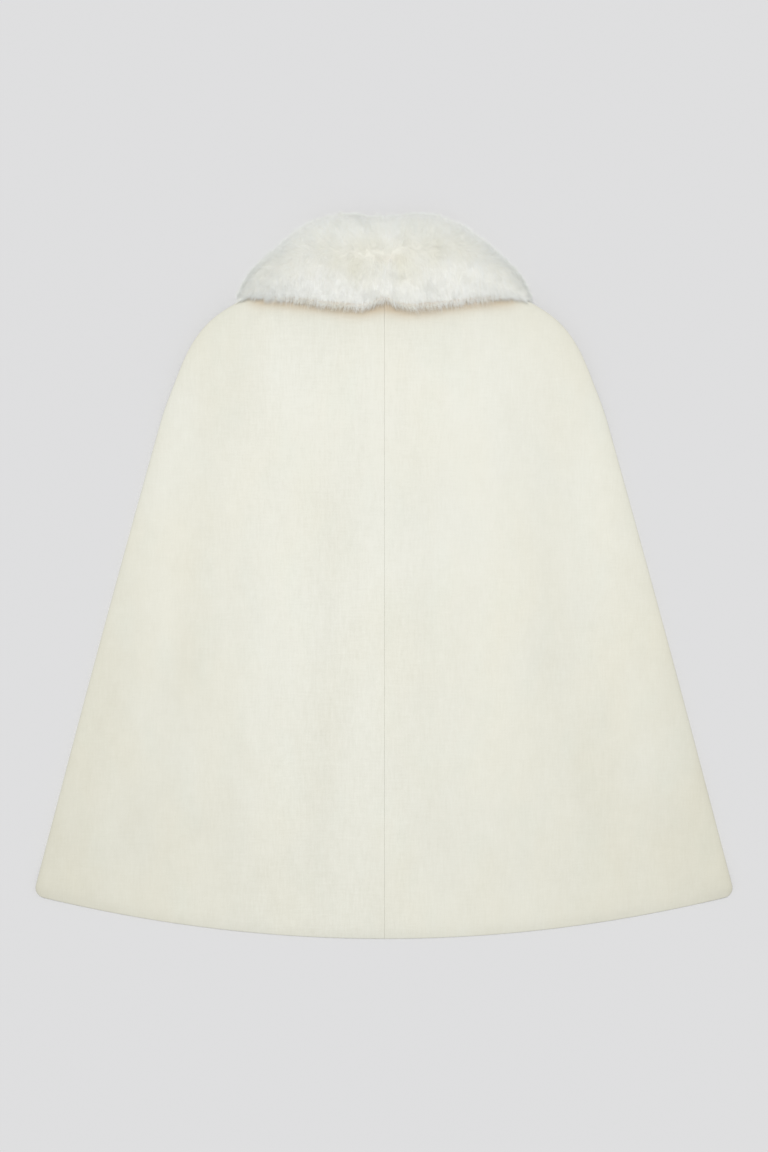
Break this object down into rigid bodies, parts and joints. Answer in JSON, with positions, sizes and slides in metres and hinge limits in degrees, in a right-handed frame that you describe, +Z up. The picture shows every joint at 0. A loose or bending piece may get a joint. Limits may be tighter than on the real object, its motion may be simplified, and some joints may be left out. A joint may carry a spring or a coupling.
{
  "type": "cape coat",
  "caption": "Cape coat of milled wool with a rolled fur collar and a curved hem, laid flat with its back up.",
  "frame": {"origin": "on the surface that the coat lies on, in the middle of its width and of its length", "axes": "+Z up out of the surface, +Y from the hem towards the collar, +X to the right of the coat's back"},
  "size_m": [0.7674, 0.8001, 0.0413],
  "materials": {
    "wool": "milled wool with a short soft nap",
    "fur": "soft white fur",
    "fastener_metal": "satin"
  },
  "bodies": {
    "root": {"back_left": "wool", "back_right": "wool", "front_left": "wool", "front_right": "wool", "collar_back": "fur", "collar_front_left": "fur", "collar_front_right": "fur", "hook": "fastener_metal", "hook_bar": "fastener_metal"}
  },
  "joints": []
}
